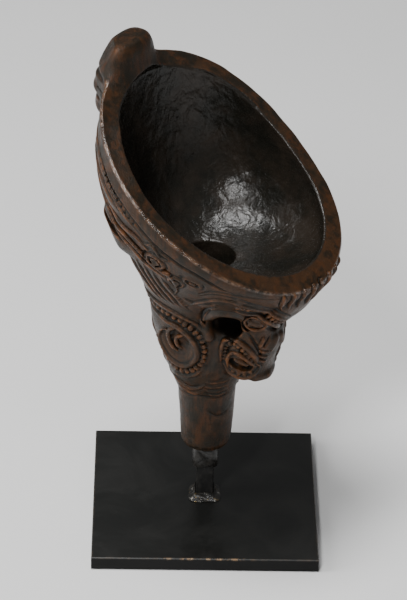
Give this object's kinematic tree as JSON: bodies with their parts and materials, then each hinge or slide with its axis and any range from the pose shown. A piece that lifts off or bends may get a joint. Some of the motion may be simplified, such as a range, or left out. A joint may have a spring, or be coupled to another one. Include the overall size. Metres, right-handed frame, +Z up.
{
  "type": "carved wooden feeding funnel on a stand",
  "caption": "Carved wooden feeding funnel: oval tilted bowl over a tapered spout, face under the low lip, standing on a pin above a square plate; it turns and lifts off.",
  "frame": {"origin": "centre of the base plate's underside", "axes": "+Z up, along the pin and the spout; -Y is the front edge of the plate; +X to the right seen from the front"},
  "size_m": [0.1077, 0.1074, 0.2272],
  "materials": {
    "carved_wood": "dark brown carved hardwood, waxed and handled, glossy near-black inside the bowl",
    "painted_steel": "satin black paint, worn through along the front edge",
    "painted_braze": "filler metal, blackened, with bright specks",
    "black_wax": "lumpy glossy black wax",
    "bare_steel": "bare drawn rod",
    "clear_sleeve": "milky polyethylene tube"
  },
  "bodies": {
    "stand": {"base_plate": "painted_steel", "mount_post": "painted_steel", "foot_braze": "painted_braze", "wax_collar": "black_wax", "support_pin": "bare_steel"},
    "sleeve": {"pin_sleeve": "clear_sleeve"},
    "funnel": {"carved_funnel": "carved_wood"}
  },
  "joints": [
    {"name": "funnel_turn", "type": "hinge", "parent": "stand", "child": "sleeve", "pos_m": [0, 0, 0.036], "axis": [0, 0, 1], "continuous": true},
    {"name": "funnel_lift", "type": "slide", "parent": "sleeve", "child": "funnel", "axis": [0, 0, 1], "range_m": [0, 0.045]}
  ]
}
